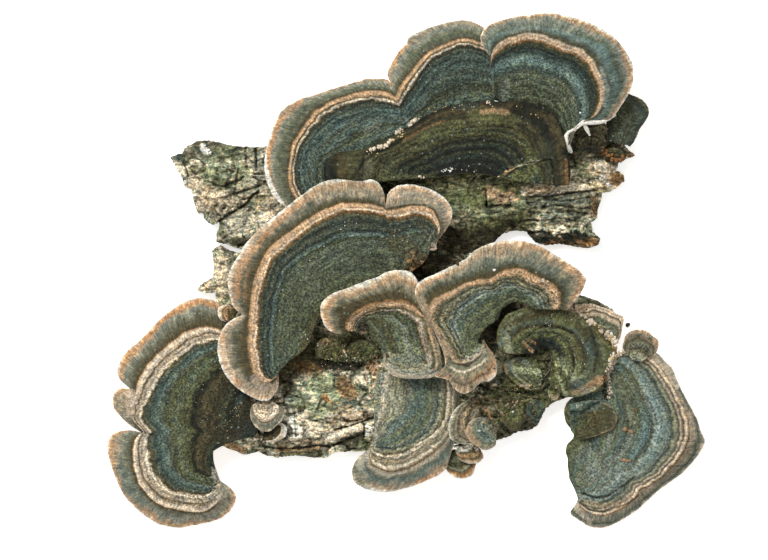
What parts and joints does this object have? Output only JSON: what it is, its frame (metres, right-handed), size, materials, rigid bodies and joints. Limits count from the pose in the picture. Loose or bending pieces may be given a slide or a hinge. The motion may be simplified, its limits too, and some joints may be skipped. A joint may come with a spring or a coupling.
{
  "type": "turkey tail fungus",
  "caption": "Cluster of thin, zoned turkey tail bracket caps growing on two loose pieces of rough bark, lying on the bark's flat cut back.",
  "frame": {"origin": "on the surface it rests on, under the middle of the specimen's bounding box", "axes": "+Z away from the bark's flat cut back, out through the caps' upper faces; +X along the grain of the bark; +Y towards the caps that grow past the bark's upper edge"},
  "size_m": [0.18, 0.155, 0.0209],
  "materials": {
    "bark": "rough grey bark with lichen and moss",
    "zoned_cap": "velvety zones of blue-grey, olive, brown and tan",
    "mossy_cap": "old cap, green with algae and crumbling"
  },
  "bodies": {
    "root": {"bark_upper": "bark", "bark_lower": "bark", "cap_leaf": "mossy_cap", "bracket_right": "mossy_cap", "bracket_left": "mossy_cap", "cap_top_left": "zoned_cap", "cap_top_right": "zoned_cap", "old_cap_upper": "mossy_cap", "cap_small_left_back": "zoned_cap", "cap_lower_left": "zoned_cap", "cap_small_left": "zoned_cap", "cap_left_bit": "zoned_cap", "cap_bottom_lobe": "zoned_cap", "cap_bottom": "zoned_cap", "cap_bottom_chip": "zoned_cap", "cap_bottom_side": "zoned_cap", "cap_bottom_front": "zoned_cap", "cap_right": "zoned_cap", "cap_right_top": "zoned_cap", "cap_right_hump": "mossy_cap", "cap_back_right": "zoned_cap", "rot_cap_brown": "mossy_cap", "rot_cap_dark": "mossy_cap", "rot_cap_bud": "mossy_cap", "rot_cap_upper": "mossy_cap", "old_cap_right": "mossy_cap", "cap_mossy_lobe": "mossy_cap", "cap_centre": "zoned_cap", "cap_curl_left": "zoned_cap", "cap_curl_right": "zoned_cap"}
  },
  "joints": []
}
